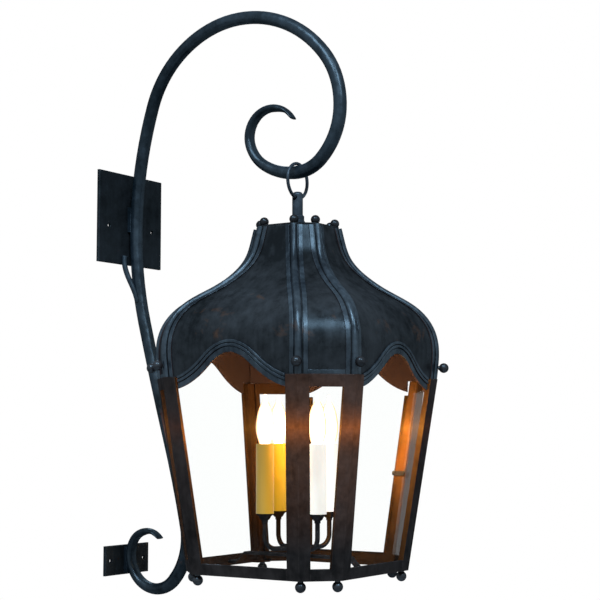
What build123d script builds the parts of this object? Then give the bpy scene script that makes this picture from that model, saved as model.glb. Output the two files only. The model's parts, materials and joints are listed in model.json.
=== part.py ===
import os
from math import atan2, cos, degrees, hypot, radians, sin, sqrt

from build123d import *

os.makedirs("parts", exist_ok=True)

# Gooseneck bracket: bar bends as (radius, turn in degrees), from the upper plate outwards
bar_d = 20.0
bar_standoff = 16.0
bar_weld_z = -19.3
bar_rise = [(640, -18.3), (164, -32.3), (184, -36.3), (200.7, -54.7),
            (130.8, -41.8), (104.5, -43.8), (61.5, -42.8)]
crook_tail = [(106.3, -34.9), (58.6, -39.2), (37.4, -168.0)]
bar_fall = [(581, 14.7), (4464, 2.4), (1632, -5.0), (92.6, -53.5)]
foot_tail = [(49.1, -102.1), (45.8, -62.6), (26, -116.0)]
tail_thick = 11.5
tail_flat_from = 0.7
tail_flat_to = 0.85
tail_tip_w = 15.0
tail_tip_thick = 4.2
tail_steps = 18

# Wall plates
plate_thick = 5.0
upper_plate_w = 154.0
upper_plate_h = 146.0
upper_hole_spacing = 106.0
upper_hole_z = -13.5
lower_plate_w = 104.0
lower_plate_h = 46.0
lower_plate_z = -540.0
lower_hole_spacing = 79.0
screw_hole_d = 7.0
weld_w = 18.0
weld_h = 40.0
brace_d = 8.4

# Hanging ring and stem
ring_r = 26.0
ring_wire_d = 5.0
hang_gap = 0.3
stem_d = 16.0
eye_d = 8.2
stem_top_z = 17.0
collar_top_z = -18.0
collar_d = 26.0

# Roof: ogee profile of the wide sides as (height, distance from the axis)
cap_thick = 3.0
roof_top_z = -40.0
eave_z = -262.5
ogee = [(-40, 54.3), (-64, 59), (-88, 66.6), (-112, 84.4), (-136, 113), (-160, 145.7),
        (-184, 162.5), (-208, 169.2), (-234, 169.8), (-281, 166.3)]
hip_half_top = 29.3
hip_slope = 0.735
hip_steps = 12
profile_steps = 14
wave_steps = 16
sheet = 1.5
seam = 1.2
wave_shape = [(0, 51.5), (0.24, 44.5), (0.457, 28.5), (0.691, 13.5), (0.851, 6.4), (1, 2)]
wave_low_z = -281.0
wave_gap = 2.3
skirt_bands = [(0.0, 7.0, 1.2), (8.5, 12.0, 2.3), (13.5, 17.0, 2.3)]
skirt_gap = 3.3
rib_d = 10.6
rib_h = 4.2
rib_bevel = 6.0
rib_end_gap = 0.5
rib_skew = 11.0
lay_gap = 0.15
fillet_in = 13.0
fillet_out = 7.0
fillet_thick = 1.6
lip_h = 6.0
lip_thick = 1.4

# Lantern body: distance of the wide sides from the axis and width of the narrow sides, at base and eaves
base_z = -541.0
base_apothem = 133.5
base_narrow_w = 59.5
eave_apothem = 172.0
eave_narrow_w = 81.0
iron = 3.0
wide_leg = 20.0
narrow_leg = 16.0
post_cap_depth = 12.0
rail_h = 16.0
rail_flange = 22.0
top_rail_h = 17.0
glass = 3.0
glass_depth = 10.5
wide_glass_top_z = -224.0
bead_w = 7.0
bead_edge = 9.0
bead_drop = 2.5
glass_edge = 9.0

# Balls
crown_ball_r = 6.8
crown_ball_inset = 6.2
eave_ball_r = 7.25
eave_ball_out = 12.5
eave_ball_z = -246.0
eave_stem_d = 6.0
foot_ball_r = 7.5
foot_ball_inset = 10.3
foot_neck_d = 8.0
foot_neck = 1.0

# Candles
candle_ring_r = 55.0
candle_turn = -25.0
strap_w = 16.0
strap_thick = 4.0
strap_rise = 14.0
hub_r = 14.0
hub_h = 20.0
arm_d = 7.0
arm_drop = 11.0
arm_bend_r = 18.0
cup_base_z = -470.0
sleeve_base_z = -457.0
sleeve_top_z = -357.0
sleeve_r = 13.0
sleeve_wall = 1.8
seat_h = 5.0
socket_r = 10.5
socket_drop = 15.0
bulb_base_r = 6.2
bulb_base_h = 23.5
socket_gap = 0.2
bulb_shape = [(5.8, 0), (7.5, 12), (11.6, 25), (13.6, 39), (12.0, 54), (6.8, 71), (2.2, 83.5)]
bulb_h = 87.0
bulb_wall = 0.8
filament_d = 0.9

# Door, its hinges and latch
door_gap = 0.3
door_bar = 16.0
door_edge = 12.0
door_top_z = -284.0
door_lift = 4.0
door_glass_gap = 1.0
door_wave_gap = 3.5
hinge_edge = 8.4
hinge_out = 4.0
knuckle_r = 3.2
pin_r = 1.5
pin_clearance = 0.05
hinge_heights = [-320.0, -490.0]
hinge_half = 14.0
moving_knuckle = 5.9
knuckle_gap = 0.3
leaf = 1.2
latch_z = -403.0
latch_edge = 24.0
shaft_r = 2.0
tongue_w = 7.0
tongue_reach = 17.0
tongue_thick = 2.5
tongue_depth = 4.0
knob_r = 5.5


# Helpers
def save(name, *shapes):
    solids = []
    for shape in shapes:
        solids.extend(shape.solids())
    export_step(Compound(solids), "parts/" + name + ".step")


def yz(out, z):
    return Vector(0, -out, z)


def arc_chain(start, heading, bends):
    edges = []
    out, z = start
    angle = radians(heading)
    for radius, turn in bends:
        sweep_angle = radians(turn)
        side = 1 if turn > 0 else -1
        centre_out = out - side * radius * sin(angle)
        centre_z = z + side * radius * cos(angle)
        middle = angle + sweep_angle / 2
        end = angle + sweep_angle
        mid_point = yz(centre_out + side * radius * sin(middle), centre_z - side * radius * cos(middle))
        begin_point = yz(out, z)
        out = centre_out + side * radius * sin(end)
        z = centre_z - side * radius * cos(end)
        edges.append(ThreePointArc(begin_point, mid_point, yz(out, z)))
        angle = end
    return edges, (out, z), degrees(angle)


def turned(points):
    return revolve(make_face(Polyline(*[(r, 0, z) for r, z in points], close=True)), Axis.Z)


def rod(path, diameter):
    section = Plane(origin=path @ 0, z_dir=path % 0) * Circle(diameter / 2)
    return sweep(section, path=path)


def block(x0, x1, y0, y1, z0, z1):
    return Pos((x0 + x1) / 2, (y0 + y1) / 2, (z0 + z1) / 2) * Box(x1 - x0, y1 - y0, z1 - z0)


def cylinder(radius, z0, z1):
    return Pos(0, 0, (z0 + z1) / 2) * Cylinder(radius, z1 - z0)


def turns(shape, angles):
    return [Rot(0, 0, angle) * shape for angle in angles]


def at_height(curve, z):
    low, high = 0.0, 1.0
    for _ in range(40):
        middle = (low + high) / 2
        if (curve @ middle).Z > z:
            low = middle
        else:
            high = middle
    return (low + high) / 2


# Sizes that follow from those above
base_half = base_apothem - base_narrow_w / sqrt(2)
eave_half = eave_apothem - eave_narrow_w / sqrt(2)
wave_half = eave_half - wide_leg - wave_gap
skirt_half = eave_half - wide_leg - skirt_gap
wave = [(share * wave_half, wave_low_z + rise) for share, rise in wave_shape]
socket_top_z = sleeve_top_z - socket_drop
roof_reach = 2 * eave_apothem

QUARTERS = [0, 90, 180, 270]
CANDLE_TURNS = [angle + candle_turn for angle in QUARTERS]
DIAGONALS = [45, 135, 225, 315]
DOOR_TURN = 90
FIXED_SIDES = [0, 180, 270]

# Gooseneck bar: one path from the foot scroll up and over to the crook's curl
weld_start = (bar_standoff, bar_weld_z)
rise_edges, crook_low, rise_heading = arc_chain(weld_start, 90, bar_rise)
crook_tail_edges, _, _ = arc_chain(crook_low, rise_heading, crook_tail)
fall_edges, fall_end, fall_heading = arc_chain(weld_start, -90, bar_fall)
foot_tail_edges, _, _ = arc_chain(fall_end, fall_heading, foot_tail)
reach, crook_z = crook_low
upper_run = rod(Wire(rise_edges), bar_d)
lower_run = rod(Wire(fall_edges), bar_d)


# Drawn-out ends: flattened from the inner side, so that the outside of the scroll keeps its curve
def tail(edges):
    path = Wire(edges)
    sections = []
    for step in range(tail_steps + 1):
        share = step / tail_steps
        flattened = min(1, share / tail_flat_from)
        pointed = max(0, share - tail_flat_to) / (1 - tail_flat_to)
        width = bar_d - (bar_d - tail_tip_w) * pointed
        thick = bar_d - (bar_d - tail_thick) * flattened - (tail_thick - tail_tip_thick) * pointed
        along = path % share
        outward = Vector(0, along.Z, -along.Y)
        place = path @ share + outward * (bar_d - thick) / 2
        section = Plane(origin=place, x_dir=(1, 0, 0), z_dir=along)
        sections.append(section * Ellipse(width / 2, thick / 2))
    return loft(sections)


gooseneck = upper_run + lower_run + tail(crook_tail_edges) + tail(foot_tail_edges)
save("gooseneck_bar", gooseneck)


# Wall plates with their screw holes, edges eased
def wall_plate(width, height, z, spacing, hole_z):
    plate = Pos(0, -plate_thick / 2, z) * Box(width, plate_thick, height)
    front = plate.faces().sort_by(Axis.Y)[0]
    plate = chamfer(front.edges(), plate_thick / 5)
    screw_hole = Cylinder(screw_hole_d / 2, 3 * plate_thick)
    for side in (-1, 1):
        plate -= Pos(side * spacing / 2, -plate_thick / 2, hole_z) * Rot(90, 0, 0) * screw_hole
    return plate


upper_plate = wall_plate(upper_plate_w, upper_plate_h, 0, upper_hole_spacing, upper_hole_z)
save("upper_wall_plate", upper_plate)
lower_plate = wall_plate(lower_plate_w, lower_plate_h, lower_plate_z, lower_hole_spacing, lower_plate_z)
save("lower_wall_plate", lower_plate)


# Welds that hold the bar to its plates, hollowed to the bar
def weld_saddle(z):
    saddle = block(-weld_w / 2, weld_w / 2, -bar_standoff + 4, -plate_thick, z - weld_h / 2, z + weld_h / 2)
    return saddle - gooseneck


save("upper_weld_saddle", weld_saddle(0))
save("lower_weld_saddle", weld_saddle(lower_plate_z))

# Brace from the upper plate's bottom edge to the bar
brace_out = plate_thick + brace_d / 2
brace_path = Spline((-20, -brace_out, -60), (-20, -brace_out - 0.6, -76), (-14, -18, -104), (-8, -26.5, -134))
save("plate_brace", rod(brace_path, brace_d) - gooseneck - upper_plate)

# Hanging ring, over the bar at the crook's lowest point
bar_top_z = crook_z + bar_d / 2
wire_r = ring_wire_d / 2
ring_z = bar_top_z + hang_gap + wire_r - ring_r
ring_low_z = ring_z - ring_r
ring = Pos(0, -reach, ring_z) * Rot(90, 0, 0) * Torus(ring_r, wire_r)
save("hanging_ring", ring)

LANTERN = Pos(0, -reach, 0)


def keep(name, *shapes):
    save(name, *[LANTERN * shape for shape in shapes])


# Hanger stem with a cross eye for the ring
ring_bow = ring_r - sqrt(ring_r ** 2 - (stem_d / 2) ** 2)
eye_z = ring_low_z + ring_bow + wire_r + hang_gap - eye_d / 2
stem = cylinder(stem_d / 2, collar_top_z, stem_top_z)
stem = fillet(stem.edges().group_by(Axis.Z)[-1], stem_d * 0.3)
stem -= Pos(0, 0, eye_z) * Rot(0, 90, 0) * Cylinder(eye_d / 2, 40)
keep("hanger_stem", stem)
cap_top_z = roof_top_z + cap_thick
collar = turned([(0, cap_top_z), (collar_d / 2, cap_top_z), (collar_d / 2, cap_top_z + 6),
                 (collar_d / 2 - 2, cap_top_z + 9), (stem_d / 2 + 2, cap_top_z + 11),
                 (stem_d / 2 + 2, collar_top_z - 2), (stem_d / 2, collar_top_z), (0, collar_top_z)])
keep("stem_collar", collar)


# Roof curves: the wide ogee, the hip line and the narrow ogee that meets it there
def hip_half(apothem):
    return hip_half_top + hip_slope * (apothem - ogee[0][1])


wide_curve = Spline(*[(0, -d, z) for z, d in ogee])


def hip_run(low_z):
    points = []
    end = at_height(wide_curve, low_z)
    for step in range(hip_steps + 1):
        point = wide_curve @ (end * step / hip_steps)
        points.append((hip_half(-point.Y), point.Y, point.Z))
    return points


hip_points = hip_run(eave_z)
narrow_curve = Spline(*[(0, -(x - y) / sqrt(2), z) for x, y, z in hip_points])
narrow_half = [((-y - x) / sqrt(2), z) for x, y, z in hip_points]
wide_half = [(x, z) for x, y, z in hip_points]


def band(curve, inner, outer):
    near, far = [], []
    for step in range(profile_steps + 1):
        place = curve @ (step / profile_steps)
        heading = curve % (step / profile_steps)
        normal = Vector(0, heading.Z, -heading.Y)
        near.append(place + normal * inner)
        far.append(place + normal * outer)
    a, b = Spline(*near), Spline(*far)
    face = make_face([a, Line(a @ 1, b @ 1), b, Line(b @ 0, a @ 0)])
    return extrude(face, amount=eave_half * 1.2, dir=(1, 0, 0), both=True)


def prism(edges):
    return extrude(make_face(edges), amount=3 * eave_apothem, dir=(0, -1, 0))


def side_curve(half, inset, side):
    return Spline(*[(side * (x - inset), 0, z) for x, z in half])


def wave_line(offset):
    points = []
    curve = Spline(*[(-x, 0, z) for x, z in wave[:0:-1]], *[(x, 0, z) for x, z in wave])
    for step in range(wave_steps + 1):
        place = curve @ (step / wave_steps)
        heading = curve % (step / wave_steps)
        lifted = place + Vector(-heading.Z, 0, heading.X) * offset
        points.append(lifted)
    return Spline(*points)


# Roof cap
cap_corner = (hip_half_top, ogee[0][1])
cap_points = []
for angle in QUARTERS:
    for side in (-1, 1):
        corner = Vector(side * cap_corner[0], -cap_corner[1], roof_top_z).rotate(Axis.Z, angle)
        cap_points.append(corner)
keep("roof_cap", extrude(make_face(Polyline(*cap_points, close=True)), amount=cap_thick, dir=(0, 0, 1)))

# Wide roof panels: ogee sheet, cut to the hips and to the waved skirt
wide_left, wide_right = side_curve(wide_half, seam, -1), side_curve(wide_half, seam, 1)
edge_line = wave_line(0)
skirt_right = Vector(wave_half, 0, eave_z)
skirt_left = Vector(-wave_half, 0, eave_z)
wide_outline = [Line(wide_left @ 0, wide_right @ 0), wide_right, Line(wide_right @ 1, skirt_right),
                Line(skirt_right, edge_line @ 1), edge_line, Line(edge_line @ 0, skirt_left),
                Line(skirt_left, wide_left @ 1), wide_left]
wide_prism = prism(wide_outline)
wide_panel = band(wide_curve, -sheet, 0) & wide_prism
keep("roof_wide_panels", *turns(wide_panel, QUARTERS))

# Narrow roof panels, straight at the eaves
narrow_left, narrow_right = side_curve(narrow_half, seam, -1), side_curve(narrow_half, seam, 1)
narrow_outline = [Line(narrow_left @ 0, narrow_right @ 0), narrow_right,
                  Line(narrow_right @ 1, narrow_left @ 1), narrow_left]
narrow_prism = prism(narrow_outline)
narrow_panel = band(narrow_curve, -sheet, 0) & narrow_prism
keep("roof_narrow_panels", *turns(narrow_panel, DIAGONALS))

# Hip ribs: a rounded bar bent along each hip, its underside bevelled to sit over both sheets
hip_line = Spline(*hip_run(eave_z + rib_end_gap))
hip_down = hip_line % 0
hip_side = Vector(1, hip_slope, 0).normalized()
hip_face = hip_down.cross(hip_side)
rib_up = hip_face * cos(radians(rib_skew)) - hip_side * sin(radians(rib_skew))
rib_plane = Plane(origin=hip_line @ 0 + rib_up * lay_gap, x_dir=rib_up.cross(hip_down), z_dir=hip_down)
rib_x = rib_d / 2 * cos(radians(rib_bevel))
rib_y = -rib_d / 2 * sin(radians(rib_bevel))
rib_section = make_face([ThreePointArc((-rib_x, rib_y), (0, rib_h), (rib_x, rib_y)),
                         Line((rib_x, rib_y), (0, 0)), Line((0, 0), (-rib_x, rib_y))])
rib = sweep(rib_plane * rib_section, path=hip_line)
ribs = [rib, mirror(rib, about=Plane.YZ)]
keep("roof_ribs", *[shape for one in ribs for shape in turns(one, QUARTERS)])
roof_slab = block(-roof_reach, roof_reach, -roof_reach, roof_reach, eave_z, roof_top_z)


# Flat strips that run beside each rib
def fillet_strip(curve, half):
    outer, inner = side_curve(half, fillet_out, 1), side_curve(half, fillet_in, 1)
    edges = [inner, Line(inner @ 1, outer @ 1), outer, Line(outer @ 0, inner @ 0)]
    strip = band(curve, lay_gap, fillet_thick) & prism(edges) & roof_slab
    return [strip, mirror(strip, about=Plane.YZ)]


strips = [shape for one in fillet_strip(wide_curve, wide_half) for shape in turns(one, QUARTERS)]
strips += [shape for one in fillet_strip(narrow_curve, narrow_half) for shape in turns(one, DIAGONALS)]
keep("rib_fillets", *strips)

# Skirt mouldings: a flat band and two beads that follow the wave
skirt_width = block(-skirt_half, skirt_half, -roof_reach, 0, base_z, 0)
mouldings = []
for low, high, thick in skirt_bands:
    lower, upper = wave_line(low), wave_line(high)
    edges = [lower, Line(lower @ 1, upper @ 1), upper, Line(upper @ 0, lower @ 0)]
    mouldings += turns(band(wide_curve, lay_gap, thick) & prism(edges) & skirt_width, QUARTERS)
keep("skirt_mouldings", *mouldings)

lip_half = narrow_half[-1][0] - fillet_in - 0.4
lip_width = block(-lip_half, lip_half, -roof_reach, 0, eave_z, eave_z + lip_h)
lip = band(narrow_curve, lay_gap, lip_thick) & lip_width
keep("narrow_skirt_lips", *turns(lip, DIAGONALS))

# Crown balls, bedded on the cap above each hip
hip_angle = degrees(atan2(cap_corner[0], cap_corner[1]))
crown_r = hypot(*cap_corner) - crown_ball_inset
crown_ball = Pos(0, -crown_r, cap_top_z + 5) * Sphere(crown_ball_r)
crown_ball = crown_ball & block(-20, 20, -crown_r - 20, -crown_r + 20, cap_top_z, 0)
crown_angles = [angle + side * hip_angle for angle in QUARTERS for side in (-1, 1)]
keep("crown_balls", *turns(crown_ball, crown_angles))

# Eave balls on short stems, square to the hips
eave_point = wide_curve @ at_height(wide_curve, eave_ball_z)
eave_corner = Vector(hip_half(-eave_point.Y), eave_point.Y, eave_ball_z)
hip_normal = Vector(sin(radians(22.5)), -cos(radians(22.5)), 0)
stem_plane = Plane(origin=eave_corner, z_dir=hip_normal)
eave_ball = stem_plane * Pos(0, 0, eave_ball_out) * Sphere(eave_ball_r)
eave_ball += stem_plane * cylinder(eave_stem_d / 2, rib_h + 3 * lay_gap, eave_ball_out)
eave_balls = [eave_ball, mirror(eave_ball, about=Plane.YZ)]
keep("eave_balls", *[shape for one in eave_balls for shape in turns(one, QUARTERS)])


# Sides of the body: a leaning plane, with half width and slope height by level
class Side:
    def __init__(self, base_out, eave_out, base_w, eave_w):
        height = eave_z - base_z
        self.lean = atan2(eave_out - base_out, height)
        self.base_w = base_w
        self.spread = (eave_w - base_w) / height
        normal = (0, -cos(self.lean), -sin(self.lean))
        self.plane = Plane(origin=(0, -base_out, base_z), x_dir=(1, 0, 0), z_dir=normal)

    def half(self, z):
        return self.base_w + self.spread * (z - base_z)

    def up(self, z):
        return (z - base_z) / cos(self.lean)

    def at(self, s, z, q):
        return self.plane.from_local_coords(Vector(s, self.up(z), q))

    def plate(self, points, q0, q1):
        face = make_face(Polyline(*[(s, self.up(z), 0) for s, z in points], close=True))
        return self.plane * Pos(0, 0, q0) * extrude(face, amount=q1 - q0, dir=(0, 0, 1))

    def slab(self, z0, z1, inset, q0, q1):
        low, high = self.half(z0) - inset, self.half(z1) - inset
        return self.plate([(-low, z0), (low, z0), (high, z1), (-high, z1)], q0, q1)

    def strip(self, z0, z1, inset, width, q0, q1):
        low, high = self.half(z0) - inset, self.half(z1) - inset
        return self.plate([(low - width, z0), (low, z0), (high, z1), (high - width, z1)], q0, q1)


def across(a, b):
    return (a + b) / sqrt(2), (a - b) / sqrt(2)


base_diag, base_narrow = across(base_apothem, base_half)
eave_diag, eave_narrow = across(eave_apothem, eave_half)
wide = Side(base_apothem, eave_apothem, base_half, eave_half)
narrow = Side(base_diag, eave_diag, base_narrow, eave_narrow)

# Corner posts: obtuse angle section, leaning with both sides, closed by a cap at the foot
corner = Vector(base_half, -base_apothem, base_z)
along_narrow = Vector(1, 1, 0).normalized()
in_wide = Vector(0, 1, 0)
in_narrow = Vector(-1, 1, 0).normalized()
leg_a = corner - Vector(wide_leg, 0, 0)
leg_b = corner + along_narrow * narrow_leg
heel = corner + Vector(-sin(radians(22.5)), cos(radians(22.5)), 0) * (iron / cos(radians(22.5)))
section = Polyline(leg_a, corner, leg_b, leg_b + in_narrow * iron, heel, leg_a + in_wide * iron, close=True)
rise = Vector(eave_half - base_half, base_apothem - eave_apothem, eave_z - base_z)
post = extrude(make_face(section), amount=rise.length, dir=rise)
cap_outline = Polyline(leg_a, corner, leg_b, leg_b + in_narrow * post_cap_depth,
                       leg_a + in_wide * post_cap_depth, close=True)
post_cap = extrude(make_face(cap_outline), amount=rise.length * iron / (eave_z - base_z), dir=rise)
post += post_cap
posts = [post, mirror(post, about=Plane.YZ)]
keep("corner_posts", *[shape for one in posts for shape in turns(one, QUARTERS)])

# Foot balls under the post caps
foot_at = corner + Vector(-sin(radians(22.5)), cos(radians(22.5)), 0) * foot_ball_inset
foot_neck_top = cylinder(foot_neck_d / 2, base_z - foot_neck - foot_ball_r, base_z)
foot_ball = Pos(0, 0, base_z - foot_neck - foot_ball_r) * Sphere(foot_ball_r) + foot_neck_top
foot_ball = Pos(foot_at.X, foot_at.Y, 0) * foot_ball
foot_balls = [foot_ball, mirror(foot_ball, about=Plane.YZ)]
keep("foot_balls", *[shape for one in foot_balls for shape in turns(one, QUARTERS)])


# Rails: angle section at the base on all eight sides, flat bars under the narrow skirts
def bottom_rail(side, leg):
    face_bar = side.slab(base_z, base_z + rail_h, leg, -iron, 0)
    flange = side.slab(base_z, base_z + iron, leg, -rail_flange, -iron)
    return face_bar + flange


rails = turns(bottom_rail(wide, wide_leg), QUARTERS) + turns(bottom_rail(narrow, narrow_leg), DIAGONALS)
keep("bottom_rails", *rails)
top_rail = narrow.slab(eave_z - top_rail_h, eave_z, narrow_leg, -iron, 0)
keep("narrow_top_rails", *turns(top_rail, DIAGONALS))

# Glazing bars behind the post legs, and the panes that lie against them
sill_z = base_z + iron + 0.1


def bead_pair(side):
    bead = side.strip(sill_z, eave_z - bead_drop, bead_edge, bead_w, -glass_depth, -iron)
    return [bead, mirror(bead, about=Plane.YZ)]


beads = [shape for one in bead_pair(wide) for shape in turns(one, FIXED_SIDES)]
beads += [shape for one in bead_pair(narrow) for shape in turns(one, DIAGONALS)]
keep("glazing_bars", *beads)
pane_low, pane_high = wide.half(sill_z) - glass_edge, wide.half(eave_z) - glass_edge
pane_points = [(-pane_low, sill_z), (pane_low, sill_z), (pane_high, eave_z), (wave_half, eave_z),
               (wave_half, wide_glass_top_z), (-wave_half, wide_glass_top_z), (-wave_half, eave_z),
               (-pane_high, eave_z)]
pane = wide.plate(pane_points, -glass_depth - glass, -glass_depth)
keep("wide_glass_panes", *turns(pane, FIXED_SIDES))
narrow_pane = narrow.slab(sill_z, eave_z - 5, glass_edge, -glass_depth - glass, -glass_depth)
keep("narrow_glass_panes", *turns(narrow_pane, DIAGONALS))

# Candle cluster: cranked strap on the rail flanges, turned hub, four swept arms
flange_top = wide.at(0, base_z + iron, -rail_flange)
strap_z = flange_top.Z
strap_end = -wide.at(0, base_z, -glass_depth - glass - 1).Y
strap_foot = -flange_top.Y - 6
strap_flat = strap_foot - strap_rise
strap_top_z = strap_z + strap_rise + strap_thick
lower_run_points = [(strap_end, strap_z), (strap_foot, strap_z), (strap_flat, strap_z + strap_rise)]
strap_turn = strap_thick * 0.4
upper_run_points = [(strap_flat - strap_turn, strap_top_z), (strap_foot - strap_turn, strap_z + strap_thick),
                    (strap_end, strap_z + strap_thick)]
half_strap = lower_run_points + [(0, strap_z + strap_rise), (0, strap_top_z)] + upper_run_points
strap_face = make_face(Polyline(*[(0, -y, z) for y, z in half_strap], close=True))
strap = extrude(strap_face, amount=strap_w / 2, dir=(1, 0, 0), both=True)
keep("candle_strap", strap + mirror(strap, about=Plane.XZ))

hub_top_z = strap_top_z + hub_h
hub = turned([(0, strap_top_z), (hub_r, strap_top_z), (hub_r, hub_top_z - 6), (hub_r - 4, hub_top_z - 3),
              (5, hub_top_z), (0, hub_top_z)])
keep("candle_hub", hub)
arm_z = hub_top_z - arm_drop
bend_x = candle_ring_r - arm_bend_r
bend_mid = (bend_x + arm_bend_r * sin(radians(45)), 0, arm_z + arm_bend_r * (1 - cos(radians(45))))
arm_out = Line((2, 0, arm_z), (bend_x, 0, arm_z))
arm_bend = ThreePointArc((bend_x, 0, arm_z), bend_mid, (candle_ring_r, 0, arm_z + arm_bend_r))
arm_up = Line((candle_ring_r, 0, arm_z + arm_bend_r), (candle_ring_r, 0, cup_base_z))
arm = rod(Wire([arm_out, arm_bend, arm_up]), arm_d) - hub
keep("candle_arms", *turns(arm, CANDLE_TURNS))


def candles(shape):
    return turns(Pos(candle_ring_r, 0, 0) * shape, CANDLE_TURNS)


# Cups, sleeves, sockets and lamps
bore_r = sleeve_r - sleeve_wall
seat_top_z = sleeve_base_z + seat_h
cup_foot_r = arm_d / 2 + 1
cup = turned([(0, cup_base_z), (cup_foot_r, cup_base_z), (cup_foot_r, cup_base_z + 3),
              (sleeve_r * 0.54, cup_base_z + 5), (sleeve_r * 0.7, sleeve_base_z - 4),
              (sleeve_r, sleeve_base_z - 1), (sleeve_r, sleeve_base_z), (bore_r, sleeve_base_z),
              (bore_r, seat_top_z), (0, seat_top_z)])
keep("candle_cups", *candles(cup))
sleeve = cylinder(sleeve_r, sleeve_base_z, sleeve_top_z)
sleeve -= cylinder(bore_r, sleeve_base_z - 1, sleeve_top_z + 1)
keep("candle_sleeves", *candles(sleeve))
lamp_base_z = socket_top_z - bulb_base_h
socket = cylinder(socket_r, seat_top_z, socket_top_z)
socket -= cylinder(bulb_base_r + socket_gap, lamp_base_z, socket_top_z + 1)
keep("lamp_sockets", *candles(socket))
keep("bulb_bases", *candles(cylinder(bulb_base_r, lamp_base_z, socket_top_z)))


def flame(shrink):
    points = [(r - shrink, 0, socket_top_z + rise) for r, rise in bulb_shape]
    tip = (0, 0, socket_top_z + bulb_h - shrink)
    side = Spline(*points, tip, tangents=((0.1, 0, 1), (-1, 0, 0)))
    foot = (0, 0, socket_top_z)
    return revolve(make_face([side, Line(tip, foot), Line(foot, points[0])]), Axis.Z)


keep("bulb_glass", *candles(flame(0) - flame(bulb_wall)))
wire_x = 2.6
wire_top_z = socket_top_z + bulb_h * 0.45
spring_z = wire_top_z - wire_x
filament_path = Wire([Line((-wire_x, 0, socket_top_z), (-wire_x, 0, spring_z)),
                      ThreePointArc((-wire_x, 0, spring_z), (0, 0, wire_top_z), (wire_x, 0, spring_z)),
                      Line((wire_x, 0, spring_z), (wire_x, 0, socket_top_z))])
filament = rod(filament_path, filament_d)
keep("bulb_filaments", *candles(filament))

# Door on the right-hand side: U frame lapping the posts, pane with a waved head
door_face = door_gap + iron
door_base_z = base_z + door_lift
rail_top_z = door_base_z + door_bar


def door_side(z, inset):
    return wide.half(z) - inset


inner = door_edge + door_bar
frame_points = []
for side in (-1, 1):
    run = [(door_side(door_base_z, door_edge), door_base_z), (door_side(door_top_z, door_edge), door_top_z),
           (door_side(door_top_z, inner), door_top_z), (door_side(rail_top_z, inner), rail_top_z)]
    run = [(side * s, z) for s, z in run]
    frame_points += run if side < 0 else run[::-1]
latch_s = -door_side(latch_z, latch_edge)
latch_plane = Plane(origin=wide.at(latch_s, latch_z, 0), x_dir=(-1, 0, 0), z_dir=wide.plane.z_dir)
door_frame = wide.plate(frame_points, door_gap, door_face)
door_frame -= latch_plane * cylinder(shaft_r + pin_clearance, -1, 10)
pane_base_z = base_z + rail_h + door_glass_gap
pane_edge = wide_leg + door_glass_gap
head_half = door_side(door_top_z, pane_edge)
head = [(x * head_half / wave_half, wide.up(z - door_wave_gap), 0) for x, z in wave]
head_line = Spline(*[(-x, y, 0) for x, y, _ in head[:0:-1]], *head)
sill_half = door_side(pane_base_z, pane_edge)
sill_left = (-sill_half, wide.up(pane_base_z), 0)
sill_right = (sill_half, wide.up(pane_base_z), 0)
pane_face = make_face([head_line, Line(head_line @ 1, sill_right), Line(sill_right, sill_left),
                       Line(sill_left, head_line @ 0)])
door_pane = wide.plane * Pos(0, 0, door_gap - glass) * extrude(pane_face, amount=glass, dir=(0, 0, 1))
door_pane -= latch_plane * block(-5, 20, -5, 5, -10, 10)


def door(name, *shapes):
    keep(name, *turns(Compound([one for shape in shapes for one in shape.solids()]), [DOOR_TURN]))


door("door_frame", door_frame)
door("door_glass", door_pane)


# Hinges: frame with z up the pin, x towards the door, y outwards
def hinge_plane(z):
    low = wide.at(door_side(base_z, hinge_edge), base_z, hinge_out)
    high = wide.at(door_side(eave_z, hinge_edge), eave_z, hinge_out)
    place = wide.at(door_side(z, hinge_edge), z, hinge_out)
    return Plane(origin=place, x_dir=(-1, 0, 0), z_dir=high - low)


fixed_from = moving_knuckle + knuckle_gap
fixed_leaf = block(-6.9, -knuckle_r - 0.4, -hinge_out, -hinge_out + leaf, -hinge_half, hinge_half)
for low, high in ((-hinge_half, -fixed_from), (fixed_from, hinge_half)):
    fixed_leaf += block(-knuckle_r - 1, 0, -hinge_out, -hinge_out + leaf + 0.4, low, high)
    fixed_leaf += cylinder(knuckle_r, low, high)
fixed_leaf -= cylinder(pin_r, -20, 20)
pin = cylinder(pin_r, -hinge_half, hinge_half)
pin += cylinder(pin_r + 1, hinge_half, hinge_half + 1.5) + cylinder(pin_r + 1, -hinge_half - 1.5, -hinge_half)
leaf_low = door_face - hinge_out
moving_leaf = block(knuckle_r + 1, 17, leaf_low, leaf_low + leaf, -hinge_half, hinge_half)
moving_leaf += block(0, knuckle_r + 2, leaf_low, leaf_low + leaf, -moving_knuckle, moving_knuckle)
moving_leaf += cylinder(knuckle_r, -moving_knuckle, moving_knuckle)
moving_leaf -= cylinder(pin_r + pin_clearance, -20, 20)
hinge_places = [hinge_plane(z) for z in hinge_heights]
door("hinge_leaves", *[place * fixed_leaf for place in hinge_places])
door("hinge_pins", *[place * pin for place in hinge_places])
door("door_hinge_knuckles", *[place * moving_leaf for place in hinge_places])

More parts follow.
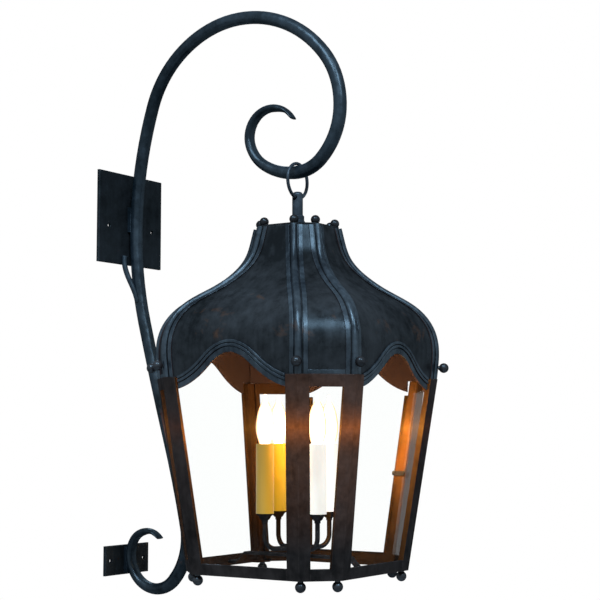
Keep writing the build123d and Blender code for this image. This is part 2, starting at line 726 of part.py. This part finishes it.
# Latch: turned knob and shaft through the door stile, tongue behind the post leg
tongue_back = -tongue_depth - tongue_thick
knob = turned([(0, tongue_back - 1), (3, tongue_back - 1), (3, tongue_back), (shaft_r, tongue_back),
               (shaft_r, door_face + 0.3), (knob_r, door_face + 0.3), (knob_r, door_face + 1.5),
               (3, door_face + 2.5), (3, door_face + 4), (knob_r, door_face + 6.5), (knob_r, door_face + 9.5),
               (3, door_face + 11.5), (0, door_face + 11.5)])
door("latch_knob", latch_plane * knob)
tongue = block(-tongue_w / 2, tongue_reach, -tongue_w / 2, tongue_w / 2, tongue_back, -tongue_depth)
tongue = fillet(tongue.edges().filter_by(Axis.Z), 2.5) - cylinder(shaft_r, -20, 0)
door("latch_tongue", latch_plane * tongue)
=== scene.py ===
import json
import math

import bpy
from mathutils import Matrix, Vector

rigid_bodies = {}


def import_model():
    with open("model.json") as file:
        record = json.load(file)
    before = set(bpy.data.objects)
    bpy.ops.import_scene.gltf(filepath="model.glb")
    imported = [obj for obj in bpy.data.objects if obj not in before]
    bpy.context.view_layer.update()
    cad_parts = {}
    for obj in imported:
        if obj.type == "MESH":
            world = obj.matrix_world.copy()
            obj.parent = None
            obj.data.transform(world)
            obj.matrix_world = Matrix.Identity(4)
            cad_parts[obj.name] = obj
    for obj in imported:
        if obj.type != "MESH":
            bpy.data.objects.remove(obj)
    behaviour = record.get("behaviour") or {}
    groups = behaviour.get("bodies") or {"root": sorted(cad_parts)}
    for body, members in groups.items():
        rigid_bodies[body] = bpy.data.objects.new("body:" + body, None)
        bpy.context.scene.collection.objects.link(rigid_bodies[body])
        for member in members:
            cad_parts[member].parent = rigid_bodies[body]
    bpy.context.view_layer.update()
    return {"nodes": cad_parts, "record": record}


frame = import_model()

# Camera, in metres, in the object's frame
CAMERA_AT = Vector((-1.7736, -1.5104, -0.3401))
CAMERA_HEADING = (0.833, 0.5533)
CAMERA_UP_DEG = 5.23
CAMERA_SEES_TO = 60.0
SENSOR_MM = 36.0
LENS_MM = 86.6

# Lantern axis and heights, in metres
AXIS_Y = -0.328
SLEEVE_LOW, SLEEVE_HIGH = -0.457, -0.357
BULB_LOW, BULB_FOOT_TOP = -0.372, -0.358
LAMP_Z = -0.334
DUST_TOP, DUST_LOW = -0.46, -0.535

# Level directions: across the lantern from the wall-side lamps to the front ones,
# and out from its axis to the front corner
ACROSS = (0.55, -0.83)
TO_FRONT = (-0.707, -0.707)

# Studio lights: azimuth and elevation in degrees, distance, size, watts, colour
LIGHTS_AIM = Vector((0.0, AXIS_Y, -0.2))
STUDIO_LIGHTS = {
    "key": (-80.0, 50.0, 3.0, 1.2, 100.0, (0.76, 0.89, 1.0)),
    "front": (-35.0, 40.0, 3.2, 0.8, 76.0, (0.76, 0.89, 1.0)),
    "back": (130.0, 35.0, 3.2, 1.0, 40.0, (0.88, 0.95, 1.0)),
}

# White world: its strength as seen, and as a light
SKY_SEEN, SKY_LIGHT = 1.0, 0.32

# Floor, far below the hanging lantern, and the brightness added where the camera sees it
FLOOR_Z, FLOOR_HALF = -2.6, 8.0
FLOOR_SEEN = 0.55

# The four lamps' own light
CANDLE_RING_R = 0.055
CANDLE_TURN_DEG = -25.0
LAMP_COLOUR = (1.0, 0.5, 0.17)
LAMP_SIZE = 0.008
ALL_ROUND_POWER = 0.22
OUTWARD_POWERS = (2.8, 2.5, 2.6, 3.2)
OUTWARD_RISE = 0.012
OUTWARD_CONE_DEG, OUTWARD_BLEND = 160.0, 0.5

# Painted glow of the lamps on the frame, drawn as emission: a wide glow and a flare, with their reach from
# lamp height
GLOW, GLOW_TOP = 0.05, 0.012
GLOW_UP, GLOW_DOWN = 0.09, -0.17
FLARE, FLARE_REACH = 0.19, 0.04
GLOW_COLOUR = (1.0, 0.4, 0.16, 1.0)
FLARE_COLOUR = (1.0, 0.23, 0.01, 1.0)
INSIDE_GLOW_COLOUR = (1.0, 0.4, 0.05, 1.0)

# Least and full share of that glow, and the distances from the axis where they are reached
INSIDE_GLOW, INSIDE_GLOW_AT = (0.35, 1.2), (-0.02, 0.08)
OUTSIDE_GLOW, OUTSIDE_GLOW_AT = (0.1, 1.0), (0.06, 0.12)

# Colours shared by the iron parts
RUST = (0.05, 0.026, 0.015, 1.0)
WAX = (0.56, 0.8, 1.0, 1.0)
# Painted lamp light: warm colours of faces that look in, on the frame and under the roof
INSIDE_PAINTED_LIGHT = (0.024, 0.013, 0.008, 1.0)
ROOF_INSIDE_PAINTED_LIGHT = (0.025, 0.018, 0.02, 1.0)
# Painted reflection of the lamps: a warm sheen on faces that look in
INSIDE_PAINTED_SHEEN = (1.0, 0.42, 0.08, 1.0)
# Painted lamp light on the bar's side by the lantern
PAINTED_LAMP_BROWN = (0.26, 0.085, 0.03, 1.0)

# Tone of the iron: shares of broad patches, fine mottle and streaks
BROAD_SHARE, MOTTLE_SHARE, STREAK_SHARE = 0.5, 0.3, 0.2

# Rust: the noise levels where it starts and is full, how far more rust lowers them, and how well it covers
RUST_STARTS, RUST_FULL = 0.68, 0.82
RUST_LOWERS, RUST_COVERS = 0.3, 0.8

# Roughness: how much smoother and rougher the mottle makes the iron
SMOOTHER, ROUGHER = 0.09, 0.13

# Heights between which painted lamp light turns the bar's lantern side brown, at the upper and the lower end
PAINTED_BROWN_UPPER = (-0.3, -0.4)
PAINTED_BROWN_LOWER = (-0.47, -0.42)

# Rubbed edges: their radius, and how much lighter and shinier they are
EDGE_R, EDGE_SAMPLES = 0.0009, 4
EDGE_LIGHTER, EDGE_SHINE = 4.0, 0.03

# Painted warm sheen of the lamps on inward faces: its least share, and the distances across where it is least
# and full
INWARD_PAINTED_SHEEN_LEAST, INWARD_PAINTED_SHEEN_AT = 0.1, (0.0, 0.08)

# Panes: the slant at which they start to mirror and its full share, and the thickest dust
MIRROR_FROM, MIRROR_FULL = 0.6, 0.45
DUST_MOST = 0.01

# Candle covers: the distances across where one colour turns into the next, from a painted shade on the wall
# side through amber to a painted lit yellow, then to cream
PAINTED_SHADE_TO_AMBER = (-0.062, -0.04)
AMBER_TO_PAINTED_LIT_YELLOW = (-0.038, -0.03)
YELLOW_TO_CREAM = (-0.01, 0.01)
# Painted glow of the covers: at the foot and at the top, and more on the cream side
SLEEVE_GLOW = (0.2, 0.4)
CREAM_GLOW = 0.35

# Lamp glass: colour and strength where it is hot and where it is cool
HOT, HOT_STRENGTH = (1.0, 0.86, 0.6, 1.0), 5.0
COOL, COOL_STRENGTH = (1.0, 0.42, 0.07, 1.0), 0.85
COOL_RIM = (0.2, 0.55)
COOL_FOOT = 0.8


# Node helpers
def put(sockets, key, value, tree):
    socket = sockets[key]
    if isinstance(value, bpy.types.NodeSocket):
        tree.links.new(value, socket)
    else:
        socket.default_value = value


def add(tree, kind, inputs=None, **settings):
    node = tree.nodes.new(kind)
    for name, value in settings.items():
        setattr(node, name, value)
    for key, value in (inputs or {}).items():
        put(node.inputs, key, value, tree)
    return node


def rgb(r, g, b):
    return (r, g, b, 1.0)


def start(name):
    material = bpy.data.materials.new(name)
    material.use_nodes = True
    tree = material.node_tree
    tree.nodes.clear()
    output = add(tree, "ShaderNodeOutputMaterial")
    shader = add(tree, "ShaderNodeBsdfPrincipled")
    tree.links.new(shader.outputs[0], output.inputs[0])
    place = add(tree, "ShaderNodeTexCoord").outputs["Object"]
    return material, tree, shader, place


def show(tree, surface):
    tree.links.new(surface, tree.nodes["Material Output"].inputs[0])


def noise(tree, place, scale, detail=4.0, roughness=0.55, distortion=0.0):
    node = add(tree, "ShaderNodeTexNoise", {"Vector": place, "Scale": scale, "Detail": detail,
                                            "Roughness": roughness, "Distortion": distortion})
    return node.outputs[0]


def ramp(tree, value, low, high, to_low=0.0, to_high=1.0):
    node = add(tree, "ShaderNodeMapRange", {"Value": value, "From Min": low, "From Max": high,
                                            "To Min": to_low, "To Max": to_high})
    node.clamp = True
    return node.outputs[0]


def mix(tree, factor, a, b):
    node = add(tree, "ShaderNodeMix", data_type="RGBA")
    put(node.inputs, 0, factor, tree)
    put(node.inputs, 6, a, tree)
    put(node.inputs, 7, b, tree)
    return node.outputs[2]


def mix_value(tree, factor, a, b):
    node = add(tree, "ShaderNodeMix", data_type="FLOAT")
    put(node.inputs, 0, factor, tree)
    put(node.inputs, 2, a, tree)
    put(node.inputs, 3, b, tree)
    return node.outputs[0]


def mix_shaders(tree, factor, a, b):
    node = add(tree, "ShaderNodeMixShader", {"Fac": factor})
    tree.links.new(a, node.inputs[1])
    tree.links.new(b, node.inputs[2])
    return node.outputs[0]


def math_node(tree, operation, a, b=0.0):
    node = add(tree, "ShaderNodeMath", operation=operation)
    put(node.inputs, 0, a, tree)
    put(node.inputs, 1, b, tree)
    return node.outputs[0]


def plus(tree, a, b):
    return math_node(tree, "ADD", a, b)


def minus(tree, a, b):
    return math_node(tree, "SUBTRACT", a, b)


def times(tree, a, b):
    return math_node(tree, "MULTIPLY", a, b)


def square(tree, a):
    return math_node(tree, "POWER", a, 2.0)


def vector_node(tree, operation, a, b=None):
    node = add(tree, "ShaderNodeVectorMath", operation=operation)
    put(node.inputs, 0, a, tree)
    if b is not None:
        put(node.inputs, 1, b, tree)
    return node.outputs["Value" if operation == "DOT_PRODUCT" else "Vector"]


def stretched(tree, place, x, y, z):
    node = add(tree, "ShaderNodeMapping", {"Vector": place})
    node.inputs["Scale"].default_value = (x, y, z)
    return node.outputs[0]


def bump(tree, height, strength, distance, normal=None):
    node = add(tree, "ShaderNodeBump", {"Height": height, "Strength": strength, "Distance": distance})
    if normal is not None:
        tree.links.new(normal, node.inputs["Normal"])
    return node.outputs[0]


def height_of(tree, place):
    return add(tree, "ShaderNodeSeparateXYZ", {"Vector": place}).outputs["Z"]


# Distance from the lantern's axis along a level direction
def along(tree, place, direction):
    parts = add(tree, "ShaderNodeSeparateXYZ", {"Vector": place})
    from_axis = minus(tree, parts.outputs["Y"], AXIS_Y)
    return plus(tree, times(tree, parts.outputs["X"], direction[0]), times(tree, from_axis, direction[1]))


# How much a face looks in towards the lantern's axis, from 0 to 1
def looks_inward(tree, place):
    out = vector_node(tree, "SUBTRACT", place, (0.0, AXIS_Y, 0.0))
    level = vector_node(tree, "MULTIPLY", out, (1.0, 1.0, 0.0))
    face = add(tree, "ShaderNodeTexCoord").outputs["Normal"]
    facing = vector_node(tree, "DOT_PRODUCT", vector_node(tree, "NORMALIZE", level), face)
    return ramp(tree, facing, 0.0, -0.15)


# Painted light of the lamps on the frame, drawn as emission: a narrow orange flare at lamp height in a wide
# brown glow.
# Inside, the painted glow is strongest near the front lamps, and outside, on the posts of the front corner.
def lamp_glow(tree, shader, place, inward):
    above_lamp = minus(tree, height_of(tree, place), LAMP_Z)
    wide = math_node(tree, "MINIMUM", ramp(tree, above_lamp, 0.0, GLOW_UP, GLOW, GLOW_TOP),
                     ramp(tree, above_lamp, 0.0, GLOW_DOWN, GLOW, 0.0))
    near = ramp(tree, math_node(tree, "ABSOLUTE", above_lamp), 0.0, FLARE_REACH, 1.0, 0.0)
    flare = times(tree, square(tree, near), FLARE)
    total = plus(tree, wide, flare)
    never_zero = plus(tree, total, 0.001)
    colour = mix(tree, math_node(tree, "DIVIDE", flare, never_zero), GLOW_COLOUR, FLARE_COLOUR)
    tree.links.new(mix(tree, inward, colour, INSIDE_GLOW_COLOUR), shader.inputs["Emission Color"])
    inside_painted_light = ramp(tree, along(tree, place, ACROSS), *INSIDE_GLOW_AT, *INSIDE_GLOW)
    outside = ramp(tree, along(tree, place, TO_FRONT), *OUTSIDE_GLOW_AT, *OUTSIDE_GLOW)
    grain = noise(tree, place, 110.0, detail=5.0, roughness=0.7)
    patchy = ramp(tree, grain, 0.35, 0.65, 0.75, 1.25)
    lit = times(tree, mix_value(tree, inward, outside, inside_painted_light), patchy)
    tree.links.new(times(tree, total, lit), shader.inputs["Emission Strength"])


# Patinated iron: mottled dark metal under a thin steel-blue wax, with rust, streaks, hammer marks and
# rubbed edges. When a share for it is given, faces that look in take the painted lamp-lit colour given for
# inside, and a warm painted sheen of the lamps times that share.
# One argument sets how brown the painted lamp light on the side by the lantern makes it, and another adds the
# lamps' painted glow, drawn as emission.
def iron(name, dark, light, rust, rough, wax, hammer, hammer_scale,
         inside_painted_sheen=0.0, inside_painted_light=INSIDE_PAINTED_LIGHT, paints_lamp_glow=False, painted_lamp_brown=0.0):
    material, tree, shader, place = start(name)
    broad = noise(tree, place, 6.0, detail=3.0, roughness=0.5, distortion=0.3)
    mottle = noise(tree, place, 55.0, detail=7.0, roughness=0.62)
    streak = noise(tree, stretched(tree, place, 120.0, 120.0, 14.0), 1.0, detail=5.0, roughness=0.6)
    patches = plus(tree, times(tree, broad, BROAD_SHARE), times(tree, mottle, MOTTLE_SHARE))
    tone = ramp(tree, plus(tree, patches, times(tree, streak, STREAK_SHARE)), 0.4, 0.6)
    body = mix(tree, tone, dark, light)
    spots = noise(tree, place, 21.0, detail=6.0, roughness=0.68, distortion=0.4)
    bloom = ramp(tree, spots, RUST_STARTS - rust * RUST_LOWERS, RUST_FULL - rust * RUST_LOWERS)
    body = mix(tree, times(tree, bloom, RUST_COVERS), body, RUST)
    if inside_painted_sheen or painted_lamp_brown:
        inward = looks_inward(tree, place)
    # Painted lamp light: brown on the bar's side by the lantern, between two heights
    if painted_lamp_brown:
        height = height_of(tree, place)
        painted_lamp_mask = times(tree, ramp(tree, height, *PAINTED_BROWN_UPPER, 0.0, painted_lamp_brown), ramp(tree, height, *PAINTED_BROWN_LOWER))
        body = mix(tree, times(tree, painted_lamp_mask, inward), body, PAINTED_LAMP_BROWN)
    # Painted lamp light: faces that look in take the warm colour given for inside
    if inside_painted_sheen:
        body = mix(tree, inward, body, inside_painted_light)

    rounded = add(tree, "ShaderNodeBevel", {"Radius": EDGE_R}, samples=EDGE_SAMPLES).outputs[0]
    flat = add(tree, "ShaderNodeNewGeometry").outputs["Normal"]
    rubbed = ramp(tree, vector_node(tree, "DOT_PRODUCT", rounded, flat), 0.985, 0.86, 0.0, 0.6)
    rubbed = times(tree, rubbed, ramp(tree, mottle, 0.35, 0.6))
    if inside_painted_sheen:
        rubbed = times(tree, rubbed, minus(tree, 1.0, inward))
    body = mix(tree, rubbed, body, rgb(*[channel * EDGE_LIGHTER for channel in light[:3]]))
    tree.links.new(body, shader.inputs["Base Color"])
    shader.inputs["Specular IOR Level"].default_value = 0.0
    wear = ramp(tree, mottle, 0.3, 0.7, rough - SMOOTHER, rough + ROUGHER)
    tree.links.new(wear, shader.inputs["Roughness"])

    dents = add(tree, "ShaderNodeTexVoronoi", {"Vector": place, "Scale": hammer_scale, "Smoothness": 0.6,
                                               "Randomness": 1.0}, feature="SMOOTH_F1").outputs["Distance"]
    grit = noise(tree, place, 620.0, detail=3.0)
    normal = bump(tree, dents, strength=hammer, distance=0.0012, normal=rounded)
    normal = bump(tree, mottle, strength=0.22, distance=0.0006, normal=normal)
    normal = bump(tree, grit, strength=0.16, distance=0.00018, normal=normal)
    tree.links.new(normal, shader.inputs["Normal"])
    # Painted glow of the lamps, drawn as emission on the iron
    if paints_lamp_glow:
        lamp_glow(tree, shader, place, inward)

    shine = add(tree, "ShaderNodeBsdfGlossy", {"Color": WAX, "Roughness": wear, "Normal": normal})
    share = plus(tree, ramp(tree, tone, 0.0, 1.0, wax * 0.5, wax * 1.5), times(tree, rubbed, EDGE_SHINE))
    # Painted reflection of the lamps on faces that look in: a warm sheen, growing towards the front lamps
    if inside_painted_sheen:
        front = ramp(tree, along(tree, place, ACROSS), *INWARD_PAINTED_SHEEN_AT,
                     INWARD_PAINTED_SHEEN_LEAST * inside_painted_sheen, inside_painted_sheen)
        share = times(tree, share, mix_value(tree, inward, 1.0, front))
        put(shine.inputs, "Color", mix(tree, inward, WAX, INSIDE_PAINTED_SHEEN), tree)
    show(tree, mix_shaders(tree, share, shader.outputs[0], shine.outputs[0]))
    return material


# Clear sheet glass: see-through, mirror-bright at a slant, with a faint ripple, and dust at the bottom
def pane_glass(name):
    material, tree, shader, place = start(name)
    ripple = bump(tree, noise(tree, place, 26.0, detail=2.0), strength=0.12, distance=0.0008)
    tint = mix(tree, noise(tree, place, 18.0), rgb(0.992, 0.998, 0.996), rgb(0.998, 1.0, 0.998))
    clear = add(tree, "ShaderNodeBsdfTransparent", {"Color": tint})
    shine = add(tree, "ShaderNodeBsdfGlossy", {"Roughness": 0.03, "Color": rgb(0.95, 0.97, 1.0),
                                               "Normal": ripple})
    slant = add(tree, "ShaderNodeLayerWeight", {"Blend": 0.5, "Normal": ripple}).outputs["Facing"]
    mirror = times(tree, square(tree, ramp(tree, slant, MIRROR_FROM, 1.0)), MIRROR_FULL)
    sheet = mix_shaders(tree, mirror, clear.outputs[0], shine.outputs[0])
    settled = ramp(tree, height_of(tree, place), DUST_TOP, DUST_LOW, 0.0, DUST_MOST)
    specks = ramp(tree, noise(tree, place, 260.0, detail=5.0, roughness=0.7), 0.4, 0.7)
    shader.inputs["Base Color"].default_value = rgb(0.9, 0.9, 0.88)
    shader.inputs["Roughness"].default_value = 0.8
    show(tree, mix_shaders(tree, times(tree, settled, specks), sheet, shader.outputs[0]))
    return material


# Candle covers: waxy, with a painted glow standing for light from the lamp above, amber on the wall side and
# cream to the front
def candle_wax(name):
    material, tree, shader, place = start(name)
    across = along(tree, place, ACROSS)
    cream_side = ramp(tree, across, *YELLOW_TO_CREAM)
    streak = noise(tree, stretched(tree, place, 90.0, 90.0, 12.0), 1.0, detail=5.0, roughness=0.6)
    # Painted shade on the wall side, then amber, then a painted lit yellow towards the front
    amber = mix(tree, ramp(tree, across, *PAINTED_SHADE_TO_AMBER), rgb(0.3, 0.22, 0.06), rgb(0.6, 0.31, 0.012))
    amber = mix(tree, ramp(tree, across, *AMBER_TO_PAINTED_LIT_YELLOW), amber, rgb(0.74, 0.46, 0.008))
    amber = mix(tree, times(tree, streak, 0.35), amber, rgb(0.42, 0.24, 0.02))
    cream = mix(tree, streak, rgb(0.86, 0.82, 0.74), rgb(0.93, 0.91, 0.86))
    wax = mix(tree, cream_side, amber, cream)
    tree.links.new(wax, shader.inputs["Base Color"])
    shader.inputs["Roughness"].default_value = 0.42
    shader.inputs["Subsurface Weight"].default_value = 0.15
    shader.inputs["Subsurface Radius"].default_value = (0.006, 0.003, 0.0015)
    # Painted glow, stronger towards the lamp above
    glow = ramp(tree, height_of(tree, place), SLEEVE_LOW, SLEEVE_HIGH, *SLEEVE_GLOW)
    tree.links.new(wax, shader.inputs["Emission Color"])
    tree.links.new(plus(tree, glow, times(tree, cream_side, CREAM_GLOW)), shader.inputs["Emission Strength"])
    tree.links.new(bump(tree, streak, strength=0.25, distance=0.0006), shader.inputs["Normal"])
    return material


# Lit lamp glass: white-hot, orange at its rim and foot, and clear to the light inside it
def lamp_glass(name):
    material, tree, shader, place = start(name)
    rim = add(tree, "ShaderNodeLayerWeight", {"Blend": 0.35}).outputs["Facing"]
    grain = noise(tree, place, 60.0, detail=3.0)
    edge = ramp(tree, plus(tree, rim, times(tree, grain, 0.1)), *COOL_RIM)
    foot = ramp(tree, height_of(tree, place), BULB_FOOT_TOP, BULB_LOW, 0.0, COOL_FOOT)
    cool = math_node(tree, "MAXIMUM", edge, foot)
    shader.inputs["Base Color"].default_value = rgb(0.9, 0.85, 0.75)
    shader.inputs["Roughness"].default_value = 0.12
    tree.links.new(mix(tree, cool, HOT, COOL), shader.inputs["Emission Color"])
    tree.links.new(ramp(tree, cool, 0.0, 1.0, HOT_STRENGTH, COOL_STRENGTH), shader.inputs["Emission Strength"])
    lamp_ray = add(tree, "ShaderNodeLightPath").outputs["Is Shadow Ray"]
    clear = add(tree, "ShaderNodeBsdfTransparent")
    show(tree, mix_shaders(tree, lamp_ray, shader.outputs[0], clear.outputs[0]))
    return material


# Small parts of brass, moulded plastic or wire, with a fine grain
def small_part(name, a, b, metallic, rough, glow=0.0):
    material, tree, shader, place = start(name)
    grain = noise(tree, place, 320.0)
    tree.links.new(mix(tree, grain, a, b), shader.inputs["Base Color"])
    shader.inputs["Metallic"].default_value = metallic
    tree.links.new(ramp(tree, grain, 0.3, 0.7, rough - 0.08, rough + 0.08), shader.inputs["Roughness"])
    tree.links.new(bump(tree, grain, strength=0.1, distance=0.0003), shader.inputs["Normal"])
    if glow:
        shader.inputs["Emission Color"].default_value = rgb(1.0, 0.6, 0.25)
        shader.inputs["Emission Strength"].default_value = glow
    return material


# One finish for each material slot of the record
FINISHES = {
    "bracket_iron": iron("bar_iron", rgb(0.002, 0.004, 0.006), rgb(0.007, 0.012, 0.018),
                         rust=0.08, rough=0.31, wax=0.022, hammer=0.45, hammer_scale=75.0, painted_lamp_brown=0.75),
    "plate_iron": iron("plate_iron", rgb(0.003, 0.004, 0.005), rgb(0.007, 0.009, 0.011),
                       rust=0.03, rough=0.5, wax=0.009, hammer=0.25, hammer_scale=60.0),
    "ring_iron": iron("ring_iron", rgb(0.006, 0.009, 0.013), rgb(0.02, 0.028, 0.039),
                      rust=0.15, rough=0.3, wax=0.022, hammer=0.25, hammer_scale=160.0),
    "roof_iron": iron("roof_iron", rgb(0.004, 0.005, 0.006), rgb(0.014, 0.016, 0.019),
                      rust=0.24, rough=0.3, wax=0.014, hammer=0.3, hammer_scale=38.0,
                      inside_painted_sheen=0.3, inside_painted_light=ROOF_INSIDE_PAINTED_LIGHT),
    "trim_iron": iron("trim_iron", rgb(0.004, 0.006, 0.009), rgb(0.016, 0.023, 0.031),
                      rust=0.1, rough=0.32, wax=0.038, hammer=0.25, hammer_scale=90.0,
                      inside_painted_sheen=0.3, inside_painted_light=ROOF_INSIDE_PAINTED_LIGHT),
    "frame_iron": iron("frame_iron", rgb(0.005, 0.0045, 0.0045), rgb(0.017, 0.013, 0.012),
                       rust=0.2, rough=0.4, wax=0.012, hammer=0.25, hammer_scale=80.0,
                       inside_painted_sheen=4.0, paints_lamp_glow=True),
    "ball_iron": iron("ball_iron", rgb(0.006, 0.006, 0.007), rgb(0.018, 0.017, 0.019),
                      rust=0.25, rough=0.26, wax=0.025, hammer=0.2, hammer_scale=190.0),
    "hinge_iron": iron("hinge_iron", rgb(0.008, 0.007, 0.006), rgb(0.025, 0.02, 0.017),
                       rust=0.3, rough=0.38, wax=0.018, hammer=0.2, hammer_scale=200.0),
    "pane_glass": pane_glass("pane_glass"),
    "candle_sleeve": candle_wax("candle_wax"),
    "lamp_glass": lamp_glass("lamp_glass"),
    "socket_black": small_part("socket_black", rgb(0.02, 0.02, 0.02), rgb(0.04, 0.04, 0.04),
                               metallic=0.0, rough=0.5),
    "lamp_brass": small_part("lamp_brass", rgb(0.5, 0.34, 0.12), rgb(0.7, 0.5, 0.2),
                             metallic=1.0, rough=0.35),
    "lamp_wire": small_part("lamp_wire", rgb(0.4, 0.36, 0.3), rgb(0.6, 0.55, 0.5),
                            metallic=1.0, rough=0.35, glow=40.0),
}

# Finishes go on the solids by their material slots
slot_of = {entry["node"]: entry["material_slot"] for entry in frame["record"]["subparts"]}
for node_name, node_object in frame["nodes"].items():
    finish = FINISHES[slot_of[node_name]]
    if not node_object.material_slots:
        node_object.data.materials.append(finish)
    for slot in node_object.material_slots:
        slot.material = finish


def place_camera():
    elevation = math.radians(CAMERA_UP_DEG)
    flat = Vector((CAMERA_HEADING[0], CAMERA_HEADING[1], 0.0)).normalized()
    forward = flat * math.cos(elevation) + Vector((0, 0, math.sin(elevation)))
    right = forward.cross(Vector((0, 0, 1))).normalized()
    up = right.cross(forward)
    basis = Matrix((right, up, -forward)).transposed()
    data = bpy.data.cameras.new("photo_camera")
    data.sensor_width = SENSOR_MM
    data.lens = LENS_MM
    data.clip_end = CAMERA_SEES_TO
    camera = bpy.data.objects.new("photo_camera", data)
    camera.matrix_world = Matrix.Translation(CAMERA_AT) @ basis.to_4x4()
    bpy.context.scene.collection.objects.link(camera)
    bpy.context.scene.camera = camera


place_camera()


# Soft studio light
def area_light(name, azimuth, elevation, distance, size, power, colour):
    a, e = math.radians(azimuth), math.radians(elevation)
    away = Vector((math.sin(a) * math.cos(e), -math.cos(a) * math.cos(e), math.sin(e)))
    data = bpy.data.lights.new(name, "AREA")
    data.shape = "DISK"
    data.size = size
    data.energy = power
    data.color = colour
    light = bpy.data.objects.new(name, data)
    light.location = LIGHTS_AIM + away * distance
    light.rotation_euler = away.to_track_quat("Z", "Y").to_euler()
    bpy.context.scene.collection.objects.link(light)


for light_name, settings in STUDIO_LIGHTS.items():
    area_light(light_name, *settings)


# A lamp's own light: weak all round, and strong outwards to the frame and skirts.
# It moves with the lamp glass.
def lamp_light(number, x, y, outward_power):
    glow = bpy.data.lights.new("lamp_glow_%d" % number, "POINT")
    glow.energy = ALL_ROUND_POWER
    throw = bpy.data.lights.new("lamp_throw_%d" % number, "SPOT")
    throw.energy = outward_power
    throw.spot_size = math.radians(OUTWARD_CONE_DEG)
    throw.spot_blend = OUTWARD_BLEND
    outward = Vector((x, y, OUTWARD_RISE))
    for data in (glow, throw):
        data.color = LAMP_COLOUR
        data.shadow_soft_size = LAMP_SIZE
        light = bpy.data.objects.new(data.name, data)
        light.location = Vector((x, AXIS_Y + y, LAMP_Z))
        light.rotation_euler = outward.to_track_quat("-Z", "Y").to_euler()
        light.parent = frame["nodes"]["bulb_glass"]
        light.matrix_parent_inverse = light.parent.matrix_world.inverted()
        bpy.context.scene.collection.objects.link(light)


for number, outward_power in enumerate(OUTWARD_POWERS):
    turn = math.radians(CANDLE_TURN_DEG + 90.0 * number)
    lamp_light(number, CANDLE_RING_R * math.cos(turn), CANDLE_RING_R * math.sin(turn), outward_power)


# White behind the object and in what it mirrors, softer as a light
def white_world():
    world = bpy.data.worlds.new("studio")
    world.use_nodes = True
    tree = world.node_tree
    tree.nodes.clear()
    rays = add(tree, "ShaderNodeLightPath")
    seen = math_node(tree, "MAXIMUM", rays.outputs["Is Camera Ray"], rays.outputs["Is Transmission Ray"])
    seen = math_node(tree, "MAXIMUM", seen, rays.outputs["Is Glossy Ray"])
    shown = ramp(tree, seen, 0.0, 1.0, SKY_LIGHT, SKY_SEEN)
    sky = add(tree, "ShaderNodeBackground", {"Color": rgb(1.0, 1.0, 1.0), "Strength": shown})
    world_out = add(tree, "ShaderNodeOutputWorld")
    tree.links.new(sky.outputs[0], world_out.inputs[0])
    bpy.context.scene.world = world


white_world()


def pale_floor():
    mesh = bpy.data.meshes.new("floor")
    r = FLOOR_HALF
    corners = [(-r, -r, FLOOR_Z), (r, -r, FLOOR_Z), (r, r, FLOOR_Z), (-r, r, FLOOR_Z)]
    mesh.from_pydata(corners, [], [(0, 1, 2, 3)])
    floor = bpy.data.objects.new("floor", mesh)
    bpy.context.scene.collection.objects.link(floor)
    material, tree, shader, place = start("floor_paint")
    tone = mix(tree, noise(tree, place, 3.0), rgb(0.86, 0.86, 0.86), rgb(0.9, 0.9, 0.9))
    tree.links.new(tone, shader.inputs["Base Color"])
    shader.inputs["Roughness"].default_value = 0.8
    shader.inputs["Emission Color"].default_value = rgb(1.0, 1.0, 1.0)
    in_view = add(tree, "ShaderNodeLightPath").outputs["Is Camera Ray"]
    tree.links.new(times(tree, in_view, FLOOR_SEEN), shader.inputs["Emission Strength"])
    mesh.materials.append(material)


pale_floor()

bpy.context.scene.view_settings.view_transform = "Standard"
